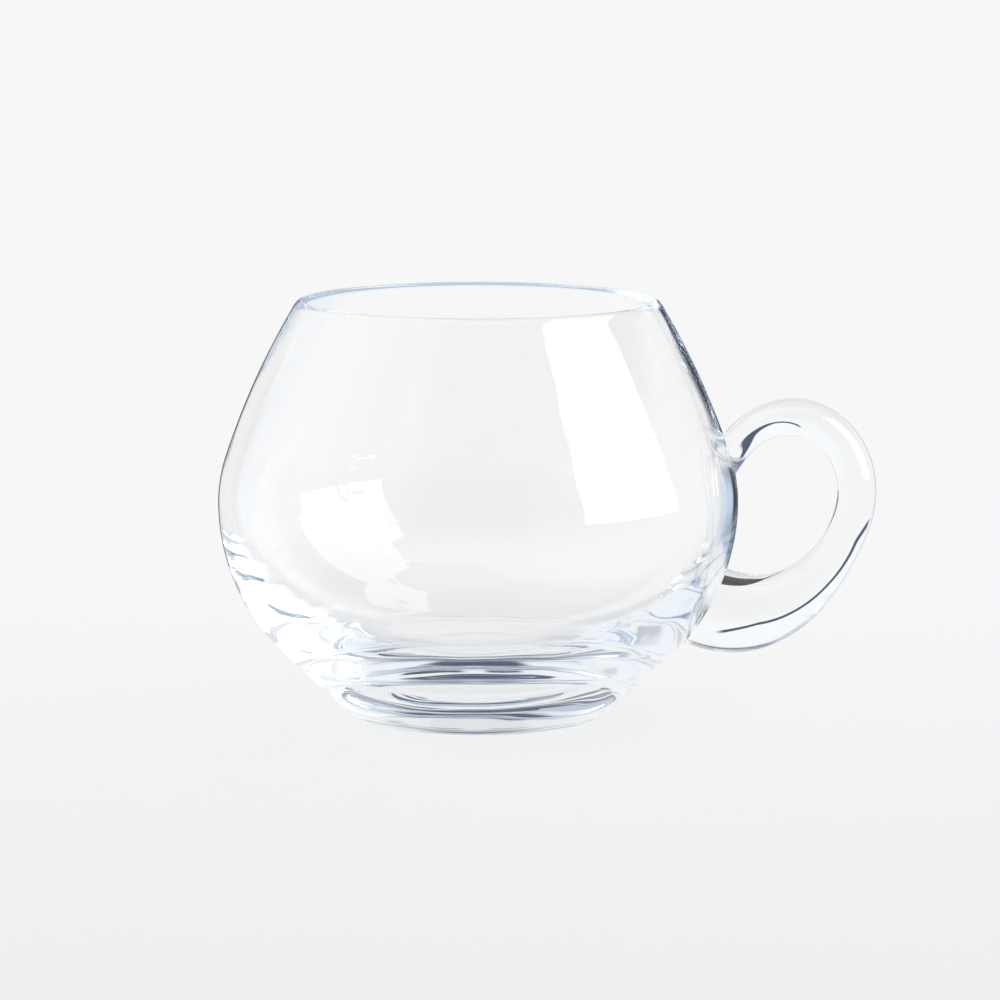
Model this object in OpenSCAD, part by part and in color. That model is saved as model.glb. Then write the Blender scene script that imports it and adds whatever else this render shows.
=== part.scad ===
// Blown glass punch cup: a round, heavy-based bowl with one drawn glass handle fused to its side.
// Millimetres, +Z up. The origin is the centre of the ground base, and the handle points along +X.

/* [Bowl outside] */
// Widest diameter of the bowl
body_d = 89; // [85:0.5:95]
// Height of the widest ring above the table
belly_h = 37.3; // [35.5:0.1:40]
// Height of the cup to the top of its lip
height = 72; // [69:0.5:78]
// Outside diameter at the lip
rim_d = 62.8; // [58:0.2:66]
// Diameter of the ground flat that the cup stands on
flat_d = 22; // [18:0.5:26]
// Diameter of the whole underside, out to where the heel begins
foot_d = 38; // [36:0.2:40]
// How far the underside lifts off the table between the flat and the heel
foot_rise = 0.25; // [0.1:0.05:0.5]
// Radius of the heel, where the foot turns up into the side
heel_r = 7.9; // [6.5:0.1:9]
// Slope of the side between the heel and the belly's curve, in degrees
side_slope = 44.4; // [40:0.1:49]
// Radius of the shoulder just above the widest ring
shoulder_r = 25; // [22:0.5:29]
// How far round the shoulder turns before the straighter neck begins, in degrees
shoulder_turn = 18.3; // [16:0.1:20]

/* [Bowl inside] */
// Wall thickness at the widest ring
wall = 1.7; // [1.4:0.1:2.6]
// Wall thickness at the lip
rim_wall = 1.3; // [1:0.1:2]
// Height of the fire-polished round on top of the lip
lip_round = 0.7; // [0.4:0.05:1]
// Thickness of solid glass in the base
base_t = 8.4; // [6.5:0.1:11]
// Diameter of the flat in the middle of the inside floor
floor_d = 14; // [6:1:24]
// Fullness of the inside below the widest ring: 2 is an ellipse, more is squarer
inner_fullness = 2; // [1.9:0.05:2.4]

/* [Handle] */
// Height of the middle of the lower join
low_join_h = 19; // [17:0.25:21]
// Height of the middle of the upper join
top_join_h = 45.6; // [44:0.2:48]
// How far the middle of the rod stands out past the bowl's widest ring
reach = 20.4; // [17:0.2:26]
// Height of the handle's farthest point
reach_h = 39; // [36:0.25:42]
// Angle below the horizontal at which the rod leaves the lower join
low_drop = 20.5; // [10:0.5:26]
// Angle above the horizontal at which the rod rises from the upper join
top_rise = 56; // [48:1:64]
// How strongly the rod runs straight on from the lower join before it curves up
low_pull = 15; // [12:0.25:18]
// How strongly the rod runs straight up into its farthest point
low_side_pull = 9.8; // [8:0.2:12]
// How strongly the rod runs straight on from its farthest point
top_side_pull = 11.6; // [9.5:0.2:13]
// How strongly the rod runs straight on from the upper join before it curves over
top_pull = 14.5; // [12:0.25:16]
// Thickness of the rod at the lower join, along the loop's plane
root_t = 14.4; // [12:0.2:16]
// Thickness of the rod round the loop
rod_t = 6.6; // [5.5:0.1:8]
// Thickness of the rod at the upper join, where it was drawn out and pressed on
tip_t = 5.5; // [4.5:0.1:6.5]
// Width of the rod across the loop's plane at the lower join
root_w = 13; // [11:0.2:15]
// Width of the rod across the loop's plane round the loop
rod_w = 8; // [6.5:0.1:10]
// Width of the pad at the upper join
tip_w = 9.5; // [7:0.1:11]
// Share of the rod's length over which the root thins to the rod
root_share = 0.38; // [0.28:0.01:0.5]
// Share of the rod's length over which the rod turns into the upper pad
tip_share = 0.25; // [0.15:0.01:0.35]

/* [Hidden] */

// Degrees between the points of a round stretch of outline
arc_step = 3;
// Steps of the underside's rise, and of the round over the lip
rise_steps = 6;
lip_steps = 10;
// A curve whose two middle points lie at one height peaks at this share of it
peak_share = 0.75;
// Sides of the turned bowl when it is drawn as a mesh
turned_sides = 180;
// Rings along the handle's rod, and sides around it
rod_rings = 60;
rod_sides = 28;
// How far the rod's ends run on inside the bowl's outline before they are trimmed to it
seat_depth = 6;

body_r = body_d / 2;
rim_r = rim_d / 2;
foot_r = foot_d / 2;
flat_r = flat_d / 2;
// Height at which the outside and inside walls end and the round of the lip begins
wall_top = height - lip_round;
lip_lift = lip_round / peak_share;
inner_body_r = body_r - wall;
inner_rim_r = rim_r - rim_wall;
inner_shoulder_r = shoulder_r - wall;

// Points of an arc about centre c from angle a0 to angle a1, leaving out the first one on request.
function arc(c, r, a0, a1, skip_first = false) =
    let (steps = max(2, ceil(abs(a1 - a0) / arc_step)))
    [for (i = [skip_first ? 1 : 0 : steps])
        let (a = a0 + (a1 - a0) * i / steps)
        c + r * [cos(a), sin(a)]];

// The outside from the edge of the flat up to the widest ring, as [radius, height]: the underside lifts off
// more and more, the heel is an arc that carries on from it, the side leaves the heel along a straight slope,
// and the belly is the arc that touches that slope and stands upright at the widest ring.
function lower_outside() =
    let (
        away = [sin(side_slope), -cos(side_slope)],
        rise_angle = atan(2 * foot_rise / (foot_r - flat_r)),
        heel_c = [foot_r, foot_rise] + heel_r * [-sin(rise_angle), cos(rise_angle)],
        slope_start = heel_c + heel_r * away,
        belly_r = (slope_start - [body_r, belly_h]) * away / (1 - away.x),
        belly_c = [body_r - belly_r, belly_h]
    )
    concat(
        [for (i = [0 : rise_steps])
            let (s = i / rise_steps)
            [flat_r + (foot_r - flat_r) * s, foot_rise * s * s]],
        arc(heel_c, heel_r, rise_angle - 90, side_slope - 90, skip_first = true),
        arc(belly_c, belly_r, side_slope - 90, 0)
    );

// The inside from the edge of the floor up to the widest ring: a quarter of an ellipse, level at the
// floor and upright at the widest ring.
function lower_inside() =
    let (
        across = inner_body_r - floor_d / 2,
        down = belly_h - base_t,
        power = 2 / inner_fullness,
        steps = ceil(90 / arc_step)
    )
    [for (i = [0 : steps])
        let (a = 90 * i / steps)
        [floor_d / 2 + across * pow(sin(a), power), belly_h - down * pow(cos(a), power)]];

// A wall from just above the widest ring up to the lip. Shoulder and neck are two arcs that meet at the
// shoulder's turn, and the neck's radius is the one that reaches the lip.
function upper_wall(belly_r, shoulder, top_r) =
    let (
        shoulder_c = [belly_r - shoulder, belly_h],
        out = [cos(shoulder_turn), sin(shoulder_turn)],
        shoulder_end = shoulder_c + shoulder * out,
        to_rim = [top_r, wall_top] - shoulder_end,
        neck = -(to_rim * to_rim) / (2 * to_rim * out),
        neck_c = shoulder_end - neck * out,
        to_lip = ([top_r, wall_top] - neck_c) / neck,
        neck_end = atan2(to_lip.y, to_lip.x)
    )
    concat(
        arc(shoulder_c, shoulder, 0, shoulder_turn, skip_first = true),
        arc(neck_c, neck, shoulder_turn, neck_end, skip_first = true)
    );

outside = concat(lower_outside(), upper_wall(body_r, shoulder_r, rim_r));
inside = concat(lower_inside(), upper_wall(inner_body_r, inner_shoulder_r, inner_rim_r));

// Outside radius of the bowl at height z.
function outside_r(z) = lookup(z, [for (p = outside) [p.y, p.x]]);

function reversed(list) = [for (i = [len(list) - 1 : -1 : 0]) list[i]];

// Cubic curve through p[0] and p[3], leaving and arriving along its two middle points.
function bezier(p, t) =
    pow(1 - t, 3) * p[0] + 3 * pow(1 - t, 2) * t * p[1] + 3 * (1 - t) * t * t * p[2] + pow(t, 3) * p[3];
function bezier_way(p, t) =
    3 * pow(1 - t, 2) * (p[1] - p[0]) + 6 * (1 - t) * t * (p[2] - p[1]) + 3 * t * t * (p[3] - p[2]);

// Point reached by going on from the top of a wall, in the wall's own direction, by a height.
function carried_on(wall_line, rise) =
    let (
        end = wall_line[len(wall_line) - 1],
        way = end - wall_line[len(wall_line) - 2]
    )
    end + way * rise / way.y;

// The lip: one curve that carries on from the outer wall, peaks at the cup's height and runs into the inner wall.
lip_curve = [
    outside[len(outside) - 1],
    carried_on(outside, lip_lift),
    carried_on(inside, lip_lift),
    inside[len(inside) - 1]
];
lip = [for (i = [1 : lip_steps - 1]) bezier(lip_curve, i / lip_steps)];

// The rod's middle line, as [x, z] in the plane y = 0. It starts and ends inside the bowl's outline.
low_way = [cos(low_drop), -sin(low_drop)];
top_way = [cos(top_rise), sin(top_rise)];
low_join = [outside_r(low_join_h), low_join_h];
top_join = [outside_r(top_join_h), top_join_h];
far_point = [body_r + reach, reach_h];
low_curve = [
    low_join,
    low_join + low_pull * low_way,
    far_point - [0, low_side_pull],
    far_point
];
top_curve = [
    far_point,
    far_point + [0, top_side_pull],
    top_join + top_pull * top_way,
    top_join
];

// Place and direction of the rod at share s of the way from the lower join to the upper one.
function rod_at(s) = s < 0.5 ? bezier(low_curve, 2 * s) : bezier(top_curve, 2 * s - 1);
function rod_way(s) =
    let (way = s < 0.5 ? bezier_way(low_curve, 2 * s) : bezier_way(top_curve, 2 * s - 1))
    way / norm(way);

function eased(x) = let (t = max(0, min(1, x))) t * t * (3 - 2 * t);
// A size of the rod at share s: root at the lower join, middle round the loop, tip at the upper join.
function along_rod(s, root, middle, tip) =
    middle + (root - middle) * (1 - eased(s / root_share)) + (tip - middle) * eased(1 + (s - 1) / tip_share);

// One ring of the rod, around point c with direction way.
function rod_ring(c, way, thick, wide) =
    [for (j = [0 : rod_sides - 1])
        let (
            a = 360 * j / rod_sides,
            off = thick / 2 * cos(a)
        )
        [c.x + way.y * off, wide / 2 * sin(a), c.y - way.x * off]];

// Rings of the whole rod, with one more at each end for the stretch that seats in the bowl.
rod = concat(
    [rod_ring(low_join - seat_depth * low_way, low_way, root_t, root_w)],
    [for (i = [0 : rod_rings])
        let (s = i / rod_rings)
        rod_ring(rod_at(s), rod_way(s), along_rod(s, root_t, rod_t, tip_t), along_rod(s, root_w, rod_w, tip_w))],
    [rod_ring(top_join - seat_depth * top_way, -top_way, tip_t, tip_w)]
);

// Triangles of a closed tube over rings of n points each, with flat ends.
function tube_faces(rings, n) =
    concat(
        [for (i = [0 : rings - 2], j = [0 : n - 1])
            let (k = (j + 1) % n, a = i * n + j, b = i * n + k, c = a + n, d = b + n)
            each [[a, b, d], [a, d, c]]],
        [for (j = [1 : n - 2]) [0, j + 1, j]],
        [for (j = [1 : n - 2]) let (e = (rings - 1) * n) [e, e + j, e + j + 1]]
    );

// Everything within the bowl's outer skin, filled in.
module bowl_envelope() {
    rotate_extrude($fn = turned_sides)
        polygon(concat([[0, 0]], outside, [[0, wall_top]]));
}

// The blown bowl: thin at the lip, thicker at the belly, with a solid base.
module bowl() {
    color("aliceblue", 0.4)
        rotate_extrude($fn = turned_sides)
            polygon(concat([[0, 0]], outside, lip, reversed(inside), [[0, base_t]]));
}

// The handle: one drawn rod, its two ends trimmed to the bowl's skin where they are fused on.
module handle() {
    color("aliceblue", 0.5)
        difference() {
            polyhedron([for (ring = rod) each ring], tube_faces(len(rod), rod_sides), convexity = 6);
            bowl_envelope();
        }
}

bowl();
handle();
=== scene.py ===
# A clear glass punch cup: a blown bowl with a solid base, and the drawn handle that is fused to its side.
# Metres, +Z up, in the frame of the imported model: the foot's centre is the origin, the handle is along +X.
import math

import bpy
import numpy as np
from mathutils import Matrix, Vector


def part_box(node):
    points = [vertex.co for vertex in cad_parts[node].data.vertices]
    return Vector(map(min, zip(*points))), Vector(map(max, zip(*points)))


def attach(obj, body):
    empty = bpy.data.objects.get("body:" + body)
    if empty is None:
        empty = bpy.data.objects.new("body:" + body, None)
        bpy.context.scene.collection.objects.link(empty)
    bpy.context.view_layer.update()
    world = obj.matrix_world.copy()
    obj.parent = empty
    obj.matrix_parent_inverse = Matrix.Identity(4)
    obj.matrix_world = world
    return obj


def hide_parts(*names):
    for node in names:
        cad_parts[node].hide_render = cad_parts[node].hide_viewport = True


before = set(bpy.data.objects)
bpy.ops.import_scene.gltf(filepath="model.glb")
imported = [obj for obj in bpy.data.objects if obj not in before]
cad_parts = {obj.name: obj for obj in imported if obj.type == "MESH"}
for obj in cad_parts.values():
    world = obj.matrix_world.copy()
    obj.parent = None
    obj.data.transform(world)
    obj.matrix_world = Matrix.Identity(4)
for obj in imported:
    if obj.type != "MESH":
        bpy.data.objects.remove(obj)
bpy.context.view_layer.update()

# Bowl: one gather of clear glass, blown round and left thick and solid in the base. The lip is cut and
# fire-polished. The outside was turned true while hot, and the inside follows the breath, so it waves.
MM = 0.001
bowl_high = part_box("bowl")[1]
body_r = bowl_high[0]
height = bowl_high[2]
belly_h = 37.3 * MM
rim_r = 31.4 * MM
flat_r = 11 * MM
foot_r = 19 * MM
foot_rise = 0.25 * MM
heel_r = 7.9 * MM
side_slope = math.radians(44.4)
shoulder_r = 25 * MM
shoulder_turn = math.radians(18.3)
wall = 1.7 * MM
rim_wall = 1.3 * MM
lip_round = 0.95 * MM
base_t = 8.4 * MM
floor_r = 7 * MM
inner_fullness = 2.0
wave_height = 0.2 * MM
wall_wave = 0.3
wave_fade = 6 * MM
breath_waves = ((0.5, 2, 0.4, 60), (0.45, 3, 1.0, 0), (0.3, 5, 2.1, -90))
wall_top = height - lip_round
wall_rings = 190
lip_rings = 24
bowl_sides = 240


def arc(centre, radius, start, end, count=200):
    """Points on a circle: centre plus radius times (cosine, sine), from the start angle to the end angle."""
    turn = np.linspace(start, end, count)
    return np.stack((centre[0] + radius * np.cos(turn), centre[1] + radius * np.sin(turn)), axis=1)


def lower_outside():
    """Gentle rise (rise times share squared), the heel's arc, then the arc from the slope to the belly."""
    away = np.array((math.sin(side_slope), -math.cos(side_slope)))
    share = np.linspace(0, 1, 60)
    rise = np.stack((flat_r + (foot_r - flat_r) * share, foot_rise * share ** 2), axis=1)
    rise_slope = math.atan(2 * foot_rise / (foot_r - flat_r))
    heel_c = np.array((foot_r - heel_r * math.sin(rise_slope), foot_rise + heel_r * math.cos(rise_slope)))
    slope_start = heel_c + heel_r * away
    belly_r = (slope_start - np.array((body_r, belly_h))) @ away / (1 - away[0])
    return np.concatenate((
        rise,
        arc(heel_c, heel_r, rise_slope - math.pi / 2, side_slope - math.pi / 2),
        arc((body_r - belly_r, belly_h), belly_r, side_slope - math.pi / 2, 0),
    ))


def lower_inside():
    """A quarter of an ellipse, level at the floor's edge and upright at the belly."""
    turn = np.linspace(0, math.pi / 2, 300)
    power = 2 / inner_fullness
    return np.stack((
        floor_r + (body_r - wall - floor_r) * np.sin(turn) ** power,
        belly_h - (belly_h - base_t) * np.clip(np.cos(turn), 0, 1) ** power,
    ), axis=1)


def upper_wall(belly_r, shoulder, top_r):
    """Shoulder arc from the belly, then the arc that carries on from it and ends at the lip."""
    out = np.array((math.cos(shoulder_turn), math.sin(shoulder_turn)))
    shoulder_end = np.array((belly_r - shoulder, belly_h)) + shoulder * out
    to_lip = np.array((top_r, wall_top)) - shoulder_end
    neck = -(to_lip @ to_lip) / (2 * to_lip @ out)
    neck_c = shoulder_end - neck * out
    from_c = (np.array((top_r, wall_top)) - neck_c) / neck
    return np.concatenate((
        arc((belly_r - shoulder, belly_h), shoulder, 0, shoulder_turn),
        arc(neck_c, neck, shoulder_turn, math.atan2(from_c[1], from_c[0])),
    ))


def curve(points, shares):
    """Cubic curve: the four points weighted by (1-t)^3, 3(1-t)^2 t, 3(1-t) t^2 and t^3."""
    t = np.asarray(shares)[:, None]
    a, b, c, d = (np.asarray(p, dtype=float) for p in points)
    return (1 - t) ** 3 * a + 3 * (1 - t) ** 2 * t * b + 3 * (1 - t) * t ** 2 * c + t ** 3 * d


def spread(line, count, turn_share=25 * MM):
    """The same line, its points spread by length plus turning: a radian counts as the turn share."""
    steps = np.linalg.norm(np.diff(line, axis=0), axis=1)
    line = line[np.concatenate(((True,), steps > 1e-9))]
    ways = np.diff(line, axis=0)
    angles = np.unwrap(np.arctan2(ways[:, 1], ways[:, 0]))
    turns = np.concatenate(((0,), np.abs(np.diff(angles))))
    along = np.concatenate(((0,), np.cumsum(np.linalg.norm(ways, axis=1) + turn_share * turns)))
    at = np.linspace(0, along[-1], count)
    return np.stack([np.interp(at, along, line[:, k]) for k in (0, 1)], axis=1)


def heading(line):
    """Unit direction in which a line leaves its last point."""
    way = line[-1] - line[-2]
    return way / np.linalg.norm(way)


def lip(outside, inside):
    """Curve over the lip, carried on from the outer wall and into the inner wall, up to full height."""
    out_way, in_way = heading(outside), heading(inside)
    lift = lip_round / 0.75
    return curve((
        outside[-1],
        outside[-1] + out_way * lift / out_way[1],
        inside[-1] + in_way * lift / in_way[1],
        inside[-1],
    ), np.linspace(0, 1, 200))


outside = np.concatenate((lower_outside(), upper_wall(body_r, shoulder_r, rim_r)))
inside = np.concatenate((lower_inside(), upper_wall(body_r - wall, shoulder_r - wall, rim_r - rim_wall)))
section = np.concatenate((
    [(0, 0)],
    spread(outside, wall_rings),
    spread(lip(outside, inside), lip_rings)[1:-1],
    spread(inside, wall_rings)[::-1],
    [(0, base_t)],
))


def turned(section, sides):
    """A section spun about the axis: (r cos a, r sin a, z) on every ring, with a point at each end."""
    a = np.linspace(0, 2 * math.pi, sides, endpoint=False)
    r, z = section[1:-1, :1], section[1:-1, 1:]
    rings = np.stack((r * np.cos(a), r * np.sin(a), z + 0 * a), axis=2)
    return np.concatenate(([(0, 0, section[0, 1])], rings.reshape(-1, 3), [(0, 0, section[-1, 1])]))


def tube_faces(rings, sides, first=1):
    """Four-sided faces between closed rings of points, numbered ring after ring from the first point."""
    ring, side = np.meshgrid(np.arange(rings - 1), np.arange(sides), indexing="ij")
    here = first + ring * sides
    after = (side + 1) % sides
    corners = (here + side, here + after, here + sides + after, here + sides + side)
    return np.stack(corners, axis=2).reshape(-1, 4)


def end_faces(point, start, sides, outward):
    """Triangles from one end point to the ring of points that begins at start."""
    side = np.arange(sides)
    near, far = start + side, start + (side + 1) % sides
    fan = (np.full(sides, point), near, far) if outward else (np.full(sides, point), far, near)
    return np.stack(fan, axis=1)


def glass_piece(name, points, faces):
    """A smooth closed mesh at the origin, with its place in its points."""
    mesh = bpy.data.meshes.new(name)
    mesh.from_pydata(points.tolist(), [], faces)
    mesh.polygons.foreach_set("use_smooth", np.ones(len(mesh.polygons), dtype=bool))
    mesh.update()
    piece = bpy.data.objects.new(name, mesh)
    bpy.context.scene.collection.objects.link(piece)
    return piece


def breathed(points, line, sides):
    """Inner skin moved along its normal by wave height times a sum of sines of the angle, less up the wall.

    Each breath wave has its share, its count round the bowl, its start in radians and its twist per metre.
    """
    ways = np.gradient(line, axis=0)
    normals = np.stack((-ways[:, 1], ways[:, 0]), axis=1) / np.linalg.norm(ways, axis=1)[:, None]
    a = np.linspace(0, 2 * math.pi, sides, endpoint=False)
    r, z = line[:, :1], line[:, 1:]
    low = np.clip((belly_h - z) / (belly_h - base_t), 0, 1)
    weight = (low * low * (3 - 2 * low) + wall_wave) * np.clip((r - floor_r) / floor_r, 0, 1)
    wave = sum(share * np.sin(count * a + start + twist * z) for share, count, start, twist in breath_waves)
    out = wave_height * weight * wave * np.clip((wall_top - z) / wave_fade, 0, 1)
    r, z = r + normals[:, :1] * out, z + normals[:, 1:] * out
    moved = np.stack((r * np.cos(a), r * np.sin(a), z), axis=2).reshape(-1, 3)
    points[-1 - len(moved):-1] = moved
    return points


rings = len(section) - 2
bowl_points = breathed(turned(section, bowl_sides), section[-1 - wall_rings:-1], bowl_sides)
last = len(bowl_points) - 1
bowl = glass_piece("blown_bowl", bowl_points, [
    *end_faces(0, 1, bowl_sides, outward=False).tolist(),
    *tube_faces(rings, bowl_sides).tolist(),
    *end_faces(last, 1 + (rings - 1) * bowl_sides, bowl_sides, outward=True).tolist(),
])

clear_glass = bpy.data.materials.new("clear_glass")
clear_glass.use_nodes = True
nodes, links = clear_glass.node_tree.nodes, clear_glass.node_tree.links
glass = nodes["Principled BSDF"]
glass.inputs["Base Color"].default_value = (1, 1, 1, 1)
glass.inputs["Roughness"].default_value = 0.0
glass.inputs["IOR"].default_value = 1.5
glass.inputs["Transmission Weight"].default_value = 1.0
ripple = bpy.data.node_groups.new("glass_ripple", "ShaderNodeTree")
ripple.interface.new_socket("Size", in_out="INPUT", socket_type="NodeSocketFloat")
ripple.interface.new_socket("Height", in_out="INPUT", socket_type="NodeSocketFloat")
ripple.interface.new_socket("Normal", in_out="OUTPUT", socket_type="NodeSocketVector")
group_in = ripple.nodes.new("NodeGroupInput")
group_out = ripple.nodes.new("NodeGroupOutput")
ripple_place = ripple.nodes.new("ShaderNodeTexCoord")
per_metre = ripple.nodes.new("ShaderNodeMath")
per_metre.operation = "DIVIDE"
per_metre.inputs[0].default_value = 1.0
ripple.links.new(group_in.outputs["Size"], per_metre.inputs[1])
swell = ripple.nodes.new("ShaderNodeTexNoise")
swell.inputs["Detail"].default_value = 1.0
ripple.links.new(ripple_place.outputs["Object"], swell.inputs["Vector"])
ripple.links.new(per_metre.outputs["Value"], swell.inputs["Scale"])
raised = ripple.nodes.new("ShaderNodeBump")
raised.inputs["Strength"].default_value = 1.0
ripple.links.new(swell.outputs["Fac"], raised.inputs["Height"])
ripple.links.new(group_in.outputs["Height"], raised.inputs["Distance"])
ripple.links.new(raised.outputs["Normal"], group_out.inputs["Normal"])
rippled = nodes.new("ShaderNodeGroup")
rippled.node_tree = ripple
rippled.inputs["Size"].default_value = 14 * MM
rippled.inputs["Height"].default_value = 0.12 * MM
links.new(rippled.outputs["Normal"], glass.inputs["Normal"])
tint = nodes.new("ShaderNodeVolumeAbsorption")
tint.inputs["Color"].default_value = (0.80, 0.87, 0.94, 1)
tint.inputs["Density"].default_value = 6
links.new(tint.outputs["Volume"], nodes["Material Output"].inputs["Volume"])
bowl.data.materials.append(clear_glass)
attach(bowl, "root")
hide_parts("bowl")

# Handle: a rod of the same glass, dropped on hot and thick at the lower join, drawn out thin, looped over
# and pressed on under the shoulder. Its ends are fused: they lie a hair inside the bowl's skin.
low_join_h = 19 * MM
top_join_h = 45.6 * MM
reach = 20.4 * MM
reach_h = 39 * MM
low_drop = math.radians(20.5)
top_rise = math.radians(56)
low_pull = 15 * MM
side_pull = (9.8 * MM, 11.6 * MM)
top_pull = 14.5 * MM
root_t, rod_t, tip_t = 14.4 * MM, 6.6 * MM, 5.5 * MM
root_w, rod_w, tip_w = 13 * MM, 8 * MM, 9.5 * MM
root_share, tip_share = 0.38, 0.25
fused_depth = 0.2 * MM
seat_depth = 6 * MM
seat_share = 0.12
clear_share = 0.2
end_margin = 0.003
halvings = 50
rod_rings = 260
rod_sides = 96
cap_rings = 24


def outside_r(z):
    """Outside radius of the bowl at a height, read off its outline."""
    return np.interp(z, outside[:, 1], outside[:, 0])


def eased(x):
    """Smooth step: t squared times (3 - 2t), with t held between 0 and 1."""
    t = np.clip(x, 0, 1)
    return t * t * (3 - 2 * t)


def along_rod(s, root, middle, tip):
    """A size of the rod: root at the lower join, middle round the loop, tip at the upper join."""
    from_root = (root - middle) * (1 - eased(s / root_share))
    to_tip = (tip - middle) * eased(1 + (s - 1) / tip_share)
    return middle + from_root + to_tip


low_way = np.array((math.cos(low_drop), -math.sin(low_drop)))
top_way = np.array((math.cos(top_rise), math.sin(top_rise)))
low_join = np.array((outside_r(low_join_h), low_join_h))
top_join = np.array((outside_r(top_join_h), top_join_h))
far_point = np.array((body_r + reach, reach_h))
half_shares = np.linspace(0, 1, 400)
low_pulled = low_join + low_pull * low_way
top_pulled = top_join + top_pull * top_way
low_curve = curve((low_join, low_pulled, far_point - (0, side_pull[0]), far_point), half_shares)
top_curve = curve((far_point, far_point + (0, side_pull[1]), top_pulled, top_join), half_shares)
shares = np.concatenate((half_shares / 2, 0.5 + half_shares[1:] / 2))
middle_line = np.concatenate((
    [low_join - seat_depth * low_way],
    low_curve,
    top_curve[1:],
    [top_join - seat_depth * top_way],
))
shares = np.concatenate(((-seat_share,), shares, (1 + seat_share,)))


def rod_points(s, a):
    """Rod's skin: the middle line plus an oval, thickness across the line and width out of its plane."""
    x, z = (np.interp(s, shares, middle_line[:, k]) for k in (0, 1))
    step = 0.002
    ahead = [np.interp(s + step, shares, middle_line[:, k]) for k in (0, 1)]
    back = [np.interp(s - step, shares, middle_line[:, k]) for k in (0, 1)]
    way_x, way_z = ahead[0] - back[0], ahead[1] - back[1]
    length = np.hypot(way_x, way_z)
    inside_s = np.clip(s, 0, 1)
    across = along_rod(inside_s, root_t, rod_t, tip_t) / 2 * np.cos(a)
    return np.stack((
        x + way_z / length * across,
        along_rod(inside_s, root_w, rod_w, tip_w) / 2 * np.sin(a),
        z - way_x / length * across,
    ), axis=-1)


def depth_in_bowl(points):
    """How far points lie inside the bowl's outer skin, measured level, less the fused depth."""
    radius = np.hypot(points[..., 0], points[..., 1])
    return outside_r(points[..., 2]) - radius - fused_depth


def seat(start, end, a):
    """Where each side of the rod enters the bowl, by halving between a share outside and one inside."""
    out_s, in_s = np.full_like(a, start), np.full_like(a, end)
    for _ in range(halvings):
        mid = (out_s + in_s) / 2
        inside_bowl = depth_in_bowl(rod_points(mid, a)) > 0
        in_s = np.where(inside_bowl, mid, in_s)
        out_s = np.where(inside_bowl, out_s, mid)
    return out_s


a = np.linspace(0, 2 * math.pi, rod_sides, endpoint=False)
from_s = seat(clear_share, -seat_share + end_margin, a)
to_s = seat(1 - clear_share, 1 + seat_share - end_margin, a)
u = np.linspace(0, 1, rod_rings)[:, None]
skin = rod_points(from_s + (to_s - from_s) * u, a)


def seat_cap(edge):
    """Rings that close an end over the bowl: the edge drawn in to its middle and laid on the bowl's skin."""
    middle = edge.mean(axis=0)
    q = np.linspace(1, 0, cap_rings + 1)[1:-1, None, None]
    flat = middle + q * (edge - middle)
    flat = np.concatenate((flat.reshape(-1, 3), [middle]))
    angle = np.arctan2(flat[:, 1], flat[:, 0])
    radius = outside_r(flat[:, 2]) - fused_depth
    return np.stack((radius * np.cos(angle), radius * np.sin(angle), flat[:, 2]), axis=1)


low_cap = seat_cap(skin[0])
top_cap = seat_cap(skin[-1])
handle_points = np.concatenate((
    low_cap[-1:],
    low_cap[:-1].reshape(cap_rings - 1, rod_sides, 3)[::-1].reshape(-1, 3),
    skin.reshape(-1, 3),
    top_cap,
))
rings = rod_rings + 2 * (cap_rings - 1)
last = len(handle_points) - 1
handle_faces = [
    *end_faces(0, 1, rod_sides, outward=False).tolist(),
    *tube_faces(rings, rod_sides).tolist(),
    *end_faces(last, 1 + (rings - 1) * rod_sides, rod_sides, outward=True).tolist(),
]
handle = glass_piece("drawn_handle", handle_points, handle_faces)
handle.data.materials.append(clear_glass)
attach(handle, "root")
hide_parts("handle")

# Floor: a pale matt sheet, a hair below the foot and lit by the surround alone, with painted shade in its
# colour:
# darker towards the front, where the light falls off towards the camera. It fades out into the background,
# so that no edge of it shows, and fades nearer the cup where the glass mirrors it.
floor_half = 1.2
floor_gap = 0.05 * MM
# Painted shade: along y the floor's colour goes from the darker front tone to the lighter back tone.
shade_front_y, shade_back_y = -0.35, 0.2
shaded_front_tone, lit_back_tone = 0.89, 0.98
fade_start, fade_end = 0.15, 0.6
mirrored_pull = 3.0
background = 0.93
corners = [(x * floor_half, y * floor_half, -floor_gap) for x, y in ((-1, -1), (1, -1), (1, 1), (-1, 1))]
floor_mesh = bpy.data.meshes.new("floor")
floor_mesh.from_pydata(corners, [], [(0, 1, 2, 3)])
floor = bpy.data.objects.new("floor", floor_mesh)
bpy.context.scene.collection.objects.link(floor)
floor_paint = bpy.data.materials.new("floor_paint")
floor_paint.use_nodes = True
nodes, links = floor_paint.node_tree.nodes, floor_paint.node_tree.links
nodes.clear()
place = nodes.new("ShaderNodeTexCoord")
distance = nodes.new("ShaderNodeVectorMath")
distance.operation = "LENGTH"
links.new(place.outputs["Object"], distance.inputs[0])
path = nodes.new("ShaderNodeLightPath")
mirrored = nodes.new("ShaderNodeMath")
mirrored.operation = "GREATER_THAN"
mirrored.inputs[1].default_value = 0.5
links.new(path.outputs["Glossy Depth"], mirrored.inputs[0])
near = nodes.new("ShaderNodeMath")
near.operation = "MULTIPLY_ADD"
near.inputs[1].default_value = mirrored_pull
near.inputs[2].default_value = 1.0
links.new(mirrored.outputs["Value"], near.inputs[0])
nearer = nodes.new("ShaderNodeMath")
nearer.operation = "MULTIPLY"
links.new(distance.outputs["Value"], nearer.inputs[0])
links.new(near.outputs["Value"], nearer.inputs[1])
fade = nodes.new("ShaderNodeMapRange")
fade.interpolation_type = "SMOOTHSTEP"
fade.inputs["From Min"].default_value = fade_start
fade.inputs["From Max"].default_value = fade_end
links.new(nearer.outputs["Value"], fade.inputs["Value"])
depth = nodes.new("ShaderNodeSeparateXYZ")
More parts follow.
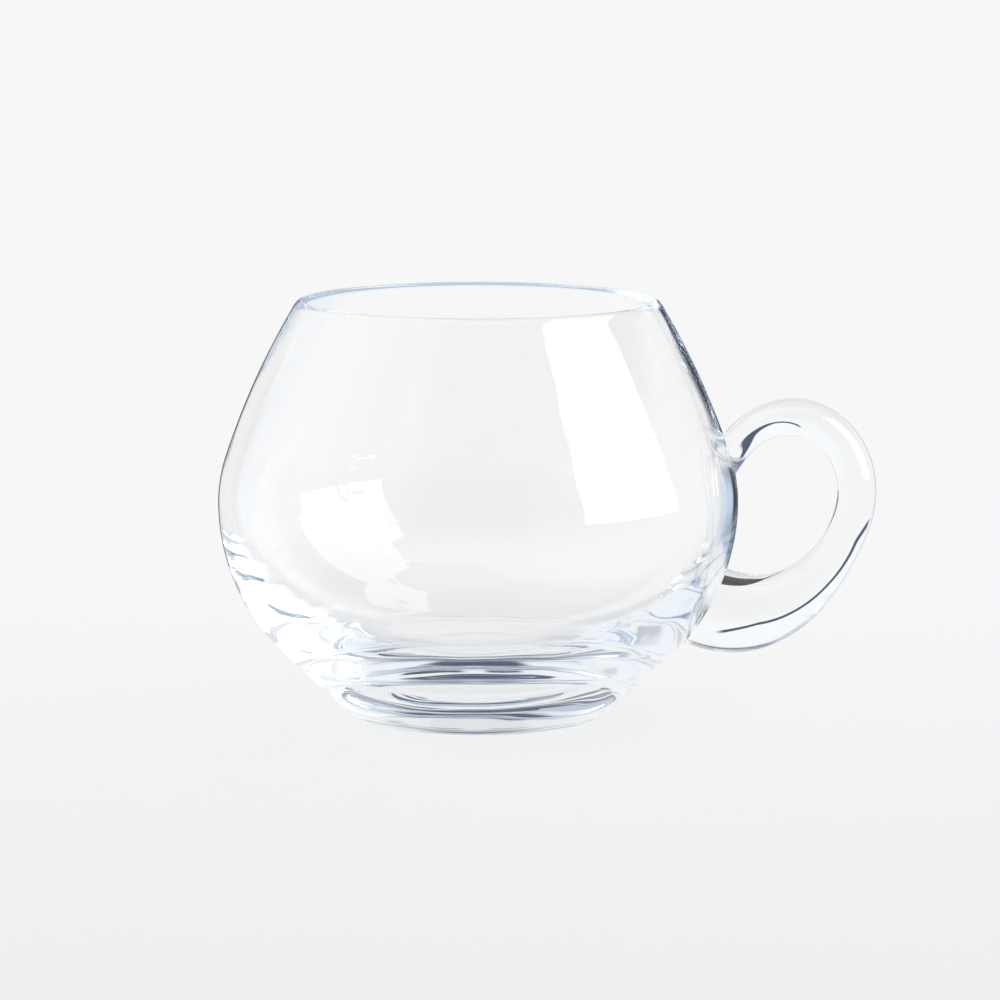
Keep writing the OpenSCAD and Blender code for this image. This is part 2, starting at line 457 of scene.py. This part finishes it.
links.new(place.outputs["Object"], depth.inputs[0])
# Painted shade: the floor's colour is darker towards the front, where the light falls off towards the
# camera.
painted_shade = nodes.new("ShaderNodeMapRange")
painted_shade.interpolation_type = "SMOOTHSTEP"
painted_shade.inputs["From Min"].default_value = shade_front_y
painted_shade.inputs["From Max"].default_value = shade_back_y
painted_shade.inputs["To Min"].default_value = shaded_front_tone
painted_shade.inputs["To Max"].default_value = lit_back_tone
links.new(depth.outputs["Y"], painted_shade.inputs["Value"])
matt = nodes.new("ShaderNodeBsdfDiffuse")
links.new(painted_shade.outputs["Result"], matt.inputs["Color"])
glow = nodes.new("ShaderNodeEmission")
glow.inputs["Color"].default_value = (background, background, background, 1)
clear = nodes.new("ShaderNodeBsdfTransparent")
far_off = nodes.new("ShaderNodeMixShader")
links.new(mirrored.outputs["Value"], far_off.inputs["Fac"])
links.new(glow.outputs["Emission"], far_off.inputs[1])
links.new(clear.outputs["BSDF"], far_off.inputs[2])
blend = nodes.new("ShaderNodeMixShader")
links.new(fade.outputs["Result"], blend.inputs["Fac"])
links.new(matt.outputs["BSDF"], blend.inputs[1])
links.new(far_off.outputs["Shader"], blend.inputs[2])
floor_out = nodes.new("ShaderNodeOutputMaterial")
links.new(blend.outputs["Shader"], floor_out.inputs["Surface"])
floor_paint.cycles.emission_sampling = "NONE"
floor_mesh.materials.append(floor_paint)

# Soft box: one tall rectangular lamp at the right, which the glass shows as a bright window. It gives the
# floor no light, so that the floor stays plain.
box_height = 0.63
box_place = (0.954, -0.301, box_height)
box_aim = (0, 0, box_height)
box_size = (0.92, 1.2)
box_power = 10.4


def soft_box(name, place, aim, size, power):
    """A rectangular lamp at a place, turned to face its aim, that shows only in the glass."""
    lamp = bpy.data.lights.new(name, "AREA")
    lamp.shape = "RECTANGLE"
    lamp.size, lamp.size_y = size
    lamp.energy = power
    box = bpy.data.objects.new(name, lamp)
    box.location = place
    way = np.array(aim, dtype=float) - np.array(place, dtype=float)
    pitch = math.atan2(math.hypot(way[0], way[1]), -way[2])
    box.rotation_euler = (pitch, 0, math.atan2(-way[0], way[1]))
    box.visible_camera = False
    box.visible_diffuse = False
    lamp.use_nodes = True
    nodes, links = lamp.node_tree.nodes, lamp.node_tree.links
    path = nodes.new("ShaderNodeLightPath")
    before_floor = nodes.new("ShaderNodeMath")
    before_floor.operation = "LESS_THAN"
    before_floor.inputs[1].default_value = 0.5
    links.new(path.outputs["Diffuse Depth"], before_floor.inputs[0])
    links.new(before_floor.outputs["Value"], nodes["Emission"].inputs["Strength"])
    bpy.context.scene.collection.objects.link(box)


soft_box("right_box", box_place, box_aim, box_size, box_power)

# Dark cards: two strips of black card that lie on the floor behind and beside the handle. They show only
# straight through one thickness of glass, as the wedge at the handle's root and the line inside its loop.
card_height = 0.2 * MM
root_card = (
    ((33, 19), (36, 34)),
    ((45, 13.5), (45.2, 23.5)),
    ((51, 15), (50.6, 17.5)),
    ((60, 10), (60, 11)),
)
loop_card = (
    ((100, 0), (104, 22)),
    ((160, 35), (134, 62)),
    ((205, 75), (192, 112)),
    ((330, 130), (315, 190)),
)
mirror_weight = 9.0
most_passes = 2.5


def lying_cards(name, *cards):
    """One mesh of flat cards, each a row of faces between near and far (x, y) corners in millimetres."""
    points, faces = [], []
    for card in cards:
        first = len(points)
        points += [(x * MM, y * MM, card_height) for side in card for x, y in side]
        faces += [(k, k + 2, k + 3, k + 1) for k in range(first, first + 2 * len(card) - 2, 2)]
    mesh = bpy.data.meshes.new(name)
    mesh.from_pydata(points, [], faces)
    return mesh


cards_mesh = lying_cards("dark_cards", root_card, loop_card)
dark_cards = bpy.data.objects.new("dark_cards", cards_mesh)
bpy.context.scene.collection.objects.link(dark_cards)
dark_cards.visible_camera = False
dark_cards.visible_diffuse = False
dark_cards.visible_glossy = False
dark_cards.visible_shadow = False
card_paint = bpy.data.materials.new("card_paint")
card_paint.use_nodes = True
nodes, links = card_paint.node_tree.nodes, card_paint.node_tree.links
card_dark = nodes["Principled BSDF"]
card_dark.inputs["Base Color"].default_value = (0.01, 0.01, 0.012, 1)
card_dark.inputs["Roughness"].default_value = 0.9
path = nodes.new("ShaderNodeLightPath")
passes = nodes.new("ShaderNodeMath")
passes.operation = "MULTIPLY_ADD"
passes.inputs[1].default_value = mirror_weight
links.new(path.outputs["Glossy Depth"], passes.inputs[0])
links.new(path.outputs["Transmission Depth"], passes.inputs[2])
few = nodes.new("ShaderNodeMath")
few.operation = "LESS_THAN"
few.inputs[1].default_value = most_passes
links.new(passes.outputs["Value"], few.inputs[0])
card_clear = nodes.new("ShaderNodeBsdfTransparent")
card_mix = nodes.new("ShaderNodeMixShader")
links.new(few.outputs["Value"], card_mix.inputs["Fac"])
links.new(card_clear.outputs["BSDF"], card_mix.inputs[1])
links.new(card_dark.outputs["BSDF"], card_mix.inputs[2])
links.new(card_mix.outputs["Shader"], nodes["Material Output"].inputs["Surface"])
cards_mesh.materials.append(card_paint)

# Surround: a pale tent of panels and roof, with dark gaps and flags that draw the edges of the glass. What a
# ray sees depends on its path: straight through the glass, mirrored once, mirrored more, or off the floor.
world = bpy.data.worlds.new("studio")
bpy.context.scene.world = world
world.use_nodes = True
nodes, links = world.node_tree.nodes, world.node_tree.links
nodes.clear()


def maths(operation, first, second=None, third=None):
    """A maths node whose inputs are numbers or other nodes' outputs."""
    node = nodes.new("ShaderNodeMath")
    node.operation = operation
    for socket, value in zip(node.inputs, (first, second, third)):
        if value is None:
            continue
        if isinstance(value, (int, float)):
            socket.default_value = value
        else:
            links.new(value, socket)
    return node.outputs["Value"]


def ramp(value, low, high, start, end):
    """A smooth change from start to end as the value goes from low to high."""
    node = nodes.new("ShaderNodeMapRange")
    node.interpolation_type = "SMOOTHSTEP"
    node.inputs["From Min"].default_value = low
    node.inputs["From Max"].default_value = high
    node.inputs["To Min"].default_value = start
    node.inputs["To Max"].default_value = end
    links.new(value, node.inputs["Value"])
    return node.outputs["Result"]


def choose(factor, otherwise, chosen):
    """The chosen colour where the factor is 1, and the other one where it is 0."""
    mix = nodes.new("ShaderNodeMix")
    mix.data_type = "RGBA"
    for socket, value in ((mix.inputs[0], factor), (mix.inputs[6], otherwise), (mix.inputs[7], chosen)):
        if isinstance(value, (int, float, tuple)):
            socket.default_value = value
        else:
            links.new(value, socket)
    return mix.outputs[2]


def grey(level):
    """A neutral colour of one level."""
    return (level, level, level, 1)


direction = nodes.new("ShaderNodeTexCoord")
parts = nodes.new("ShaderNodeSeparateXYZ")
links.new(direction.outputs["Generated"], parts.inputs[0])
azimuth = maths("ARCTAN2", parts.outputs["X"], parts.outputs["Y"])
path = nodes.new("ShaderNodeLightPath")
tent_colour = (0.96, 0.98, 1.0, 1)
flag_colour = (0.03, 0.04, 0.06, 1)
gap_colour = (0.03, 0.055, 0.12, 1)
blue_card = (0.47, 0.60, 0.80, 1)
deep_colour = (0.56, 0.62, 0.71, 1)
left_panel = 1.1
line_bend = math.radians(4.5)
deep_mirrorings = 14.5
gap_low, gap_side, roof_low = (20, 28), (32, 44), (66, 72)


def upright(start, end, soft, strength):
    """An upright strip between two azimuths in degrees, with soft sides and a strength."""
    start, end, soft = (math.radians(v) for v in (start, end, soft))
    opens = ramp(azimuth, start - soft, start + soft, 0, strength)
    closes = ramp(azimuth, end - soft, end + soft, 1, 0)
    return maths("MULTIPLY", opens, closes)


def higher(low, high, level=parts.outputs["Z"]):
    """0 below the lower elevation in degrees and 1 above the upper one."""
    return ramp(level, math.sin(math.radians(low)), math.sin(math.radians(high)), 0, 1)


def strips(*sides):
    """All the upright strips together, each where it is strongest."""
    mask = upright(*sides[0])
    for side in sides[1:]:
        mask = maths("MAXIMUM", mask, upright(*side))
    return mask


def between(mask, low, high):
    """A mask kept to a band of elevation in degrees."""
    mask = maths("MULTIPLY", mask, higher(low - 5, low + 5))
    return maths("MULTIPLY", mask, maths("SUBTRACT", 1, higher(high - 3, high + 3)))


# Flags are narrow dark strips near the horizon, behind and beside the cup.
back_flags = between(strips((4, 25, 2, 0.97), (-14, -3, 1.5, 0.9)), -17, 7)
side_flags = between(strips((-64, -52, 3, 0.3), (-113, -95, 3, 0.4), (-85, -70, 3, 0.4),
                            (112, 130, 3, 0.3), (140, 158, 3, 0.3)), -17, 7)
behind = strips((-gap_side[1], gap_side[1], gap_side[1] - gap_side[0], 1.0))
# The slanting edge line is what the handle's rod shows low down. The gaps are behind the cup and overhead.
tilt = maths("MAXIMUM", maths("ADD", azimuth, line_bend), 0)
tilted = maths("SUBTRACT", parts.outputs["Z"], tilt)
edge_line = maths("MULTIPLY", strips((-36, 5, 2, 1.0)), higher(0.4, 1.0, tilted))
edge_line = maths("MULTIPLY", edge_line, maths("SUBTRACT", 1, higher(3.2, 3.9, tilted)))
edge_line = maths("MAXIMUM", edge_line, maths("MULTIPLY", behind, higher(42, 50)))
gap = maths("MULTIPLY", behind, higher(*gap_low))
gap = maths("MAXIMUM", gap, higher(*roof_low))
reflected = maths("GREATER_THAN", path.outputs["Glossy Depth"], 0.5)
through_once = maths("LESS_THAN", path.outputs["Transmission Depth"], 2.5)
often = maths("GREATER_THAN", path.outputs["Glossy Depth"], 1.5)
gap = maths("MULTIPLY", choose(reflected, edge_line, gap), maths("MAXIMUM", through_once, often))
above = higher(-6, 6)
tent = choose(gap, choose(above, grey(background), tent_colour), gap_colour)
flags = maths("MULTIPLY", maths("MAXIMUM", back_flags, side_flags), through_once)
flagged = choose(maths("MULTIPLY", flags, reflected), tent, flag_colour)
# The smooth panels are what is mirrored once: backdrop, front, a blue card at the right and a left panel.
backdrop = choose(higher(20, 28), grey(0.85), grey(0.12))
front = choose(higher(-25, 12), grey(1.0), grey(0.45))
front = choose(higher(50, 75), front, grey(1.2))
smooth = choose(strips((-95, 95, 12, 1.0)), front, backdrop)
smooth = choose(between(strips((24, 54, 4, 1.0)), -40, 0), smooth, blue_card)
smooth = choose(strips((-150, -105, 12, 0.6)), smooth, grey(left_panel))
smooth = choose(strips((-112, -40, 14, 1.0)), smooth, grey(left_panel))
smooth = choose(back_flags, smooth, flag_colour)
once = maths("MULTIPLY", reflected, maths("SUBTRACT", 1, often))
flagged = choose(once, flagged, smooth)
deep = maths("GREATER_THAN", path.outputs["Glossy Depth"], deep_mirrorings)
flagged = choose(deep, flagged, deep_colour)
seen = choose(path.outputs["Is Transmission Ray"], smooth, flagged)
after_floor = maths("GREATER_THAN", path.outputs["Diffuse Depth"], 0.5)
right_light = ramp(parts.outputs["X"], -0.8, 0.8, 0.80, 1.10)
seen = choose(after_floor, seen, right_light)
seen = choose(path.outputs["Is Camera Ray"], seen, grey(background))
surround = nodes.new("ShaderNodeBackground")
links.new(seen, surround.inputs["Color"])
world_out = nodes.new("ShaderNodeOutputWorld")
links.new(surround.outputs["Background"], world_out.inputs["Surface"])

# Camera: above the cup and looking slightly down at it, as far off as a long lens stands. The bounces are
# many, because light in the thick base is mirrored many times before it leaves.
many_bounces = 200
camera_data = bpy.data.cameras.new("camera")
camera_data.sensor_width = 36
camera_data.lens = 169.8
camera = bpy.data.objects.new("camera", camera_data)
eye = np.array((3.74, -800, 154.89)) * MM
aim = np.array((3.74, 0, 37.48)) * MM
camera.location = eye
look = aim - eye
camera.rotation_euler = (math.atan2(look[1], -look[2]), 0, 0)
bpy.context.scene.collection.objects.link(camera)
scene = bpy.context.scene
scene.camera = camera
scene.view_settings.view_transform = "Standard"
scene.cycles.max_bounces = many_bounces
scene.cycles.transmission_bounces = many_bounces
scene.cycles.glossy_bounces = many_bounces
scene.cycles.blur_glossy = 0
